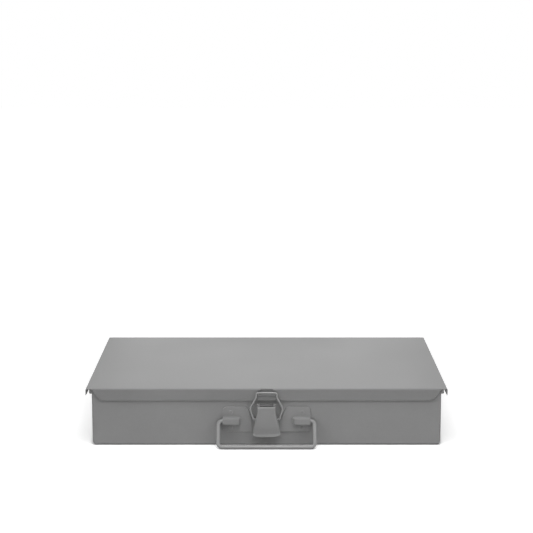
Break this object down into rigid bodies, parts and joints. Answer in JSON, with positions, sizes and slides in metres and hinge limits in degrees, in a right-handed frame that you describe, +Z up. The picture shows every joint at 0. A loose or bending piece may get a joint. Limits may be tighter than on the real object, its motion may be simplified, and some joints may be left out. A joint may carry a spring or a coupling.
{
  "type": "steel compartment box",
  "caption": "Shallow painted steel box with a hinged lid, draw latch, drop-down wire handle and scooped compartments.",
  "frame": {"origin": "centre of the box's underside, on the surface it stands on", "axes": "+X to the box's right seen from the front, +Y from the latch to the hinge, +Z up"},
  "size_m": [0.4724, 0.3321, 0.0762],
  "materials": {
    "enamel": "satin grey baked enamel",
    "wire_enamel": "grey enamel over bent wire",
    "bright_pin": "plain drawn steel"
  },
  "bodies": {
    "tray": {"tray_shell": "enamel", "trough_front": "enamel", "trough_middle": "enamel", "trough_rear": "enamel", "divider_front_1": "enamel", "divider_front_2": "enamel", "divider_front_3": "enamel", "divider_middle_1": "enamel", "divider_middle_2": "enamel", "divider_middle_3": "enamel", "divider_rear_1": "enamel", "divider_rear_2": "enamel", "divider_rear_3": "enamel", "hinge_leaf_tray": "enamel", "hinge_pin": "bright_pin", "handle_plate": "enamel", "latch_base": "enamel", "latch_pin": "enamel"},
    "lid": {"lid_shell": "enamel", "lid_strike": "enamel", "hinge_leaf_lid": "enamel"},
    "handle": {"handle": "wire_enamel"},
    "lever": {"latch_lever": "enamel"},
    "link": {"latch_link": "wire_enamel"}
  },
  "joints": [
    {"name": "lid_hinge", "type": "hinge", "parent": "tray", "child": "lid", "pos_m": [0, 0.1551, 0.0725], "axis": [-1, 0, 0], "range_deg": [0, 180]},
    {"name": "handle_pivot", "type": "hinge", "parent": "tray", "child": "handle", "pos_m": [0, -0.15555, 0.0334], "axis": [-1, 0, 0], "range_deg": [-27.5, 90]},
    {"name": "lever_pivot", "type": "hinge", "parent": "tray", "child": "lever", "pos_m": [0, -0.1584, 0.0543], "axis": [-1, 0, 0], "range_deg": [0, 95]},
    {"name": "link_pivot", "type": "hinge", "parent": "lever", "child": "link", "pos_m": [0, -0.1574, 0.036], "axis": [-1, 0, 0], "range_deg": [-51.4, 0]}
  ],
  "couplings": [
    {"joint": "link_pivot", "follows": "lever_pivot", "ratio": -0.54}
  ]
}
